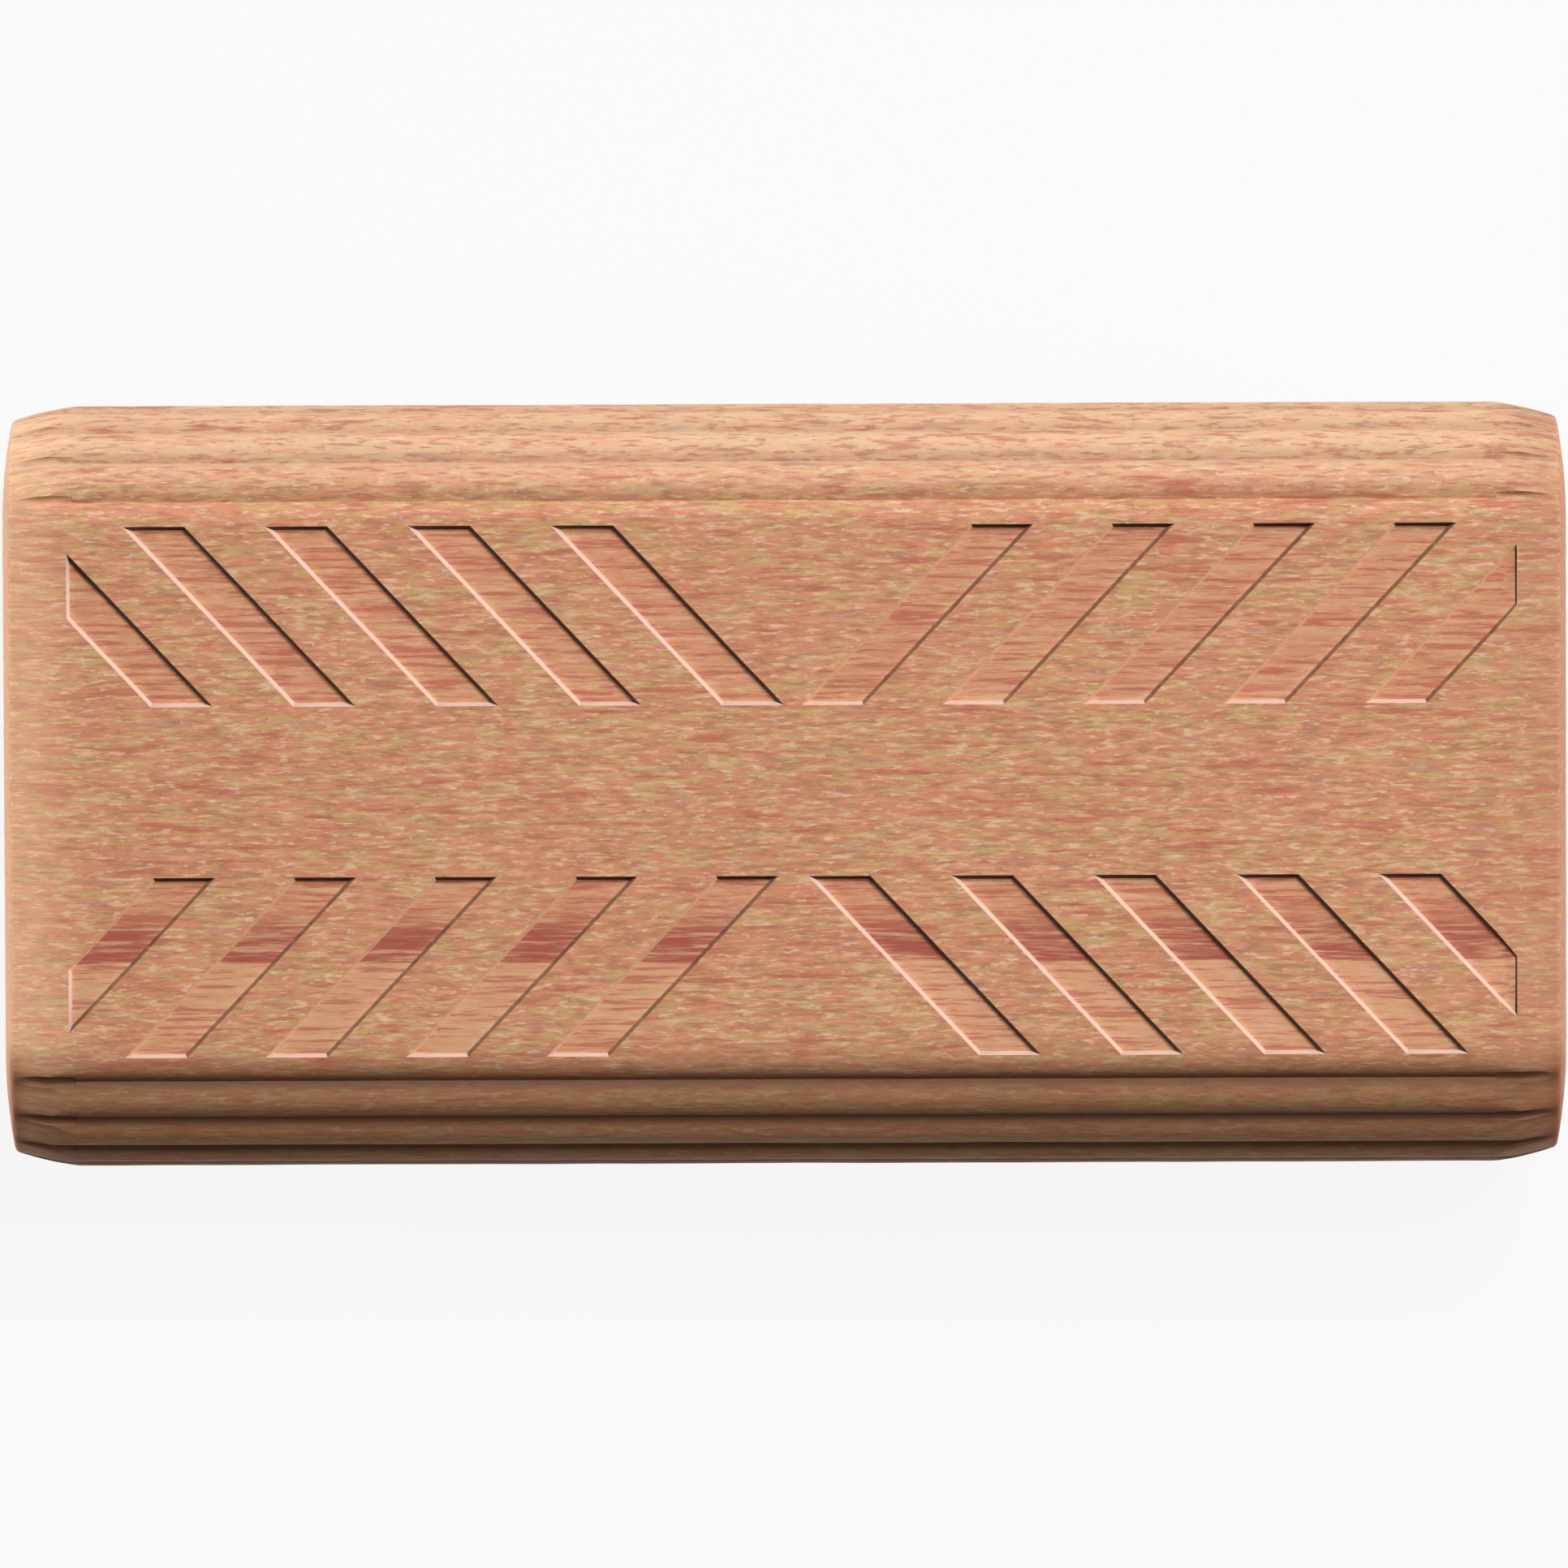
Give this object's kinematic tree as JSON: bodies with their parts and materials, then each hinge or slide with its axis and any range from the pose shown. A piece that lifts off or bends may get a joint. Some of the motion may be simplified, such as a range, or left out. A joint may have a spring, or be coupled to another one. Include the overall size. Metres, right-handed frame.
{
  "type": "loose tenon",
  "caption": "Flat oval loose tenon of beech with reeded round edges, eased crowned ends and pressed slanting glue pockets on both faces.",
  "frame": {"origin": "centre of the tenon's box, halfway along its length, width and thickness", "axes": "+X along the tenon, +Y across its width, +Z through its thickness, out of the upper face"},
  "size_m": [0.04, 0.0194, 0.006],
  "materials": {
    "wood": "matte"
  },
  "bodies": {
    "root": {"tenon": "wood"}
  },
  "joints": []
}
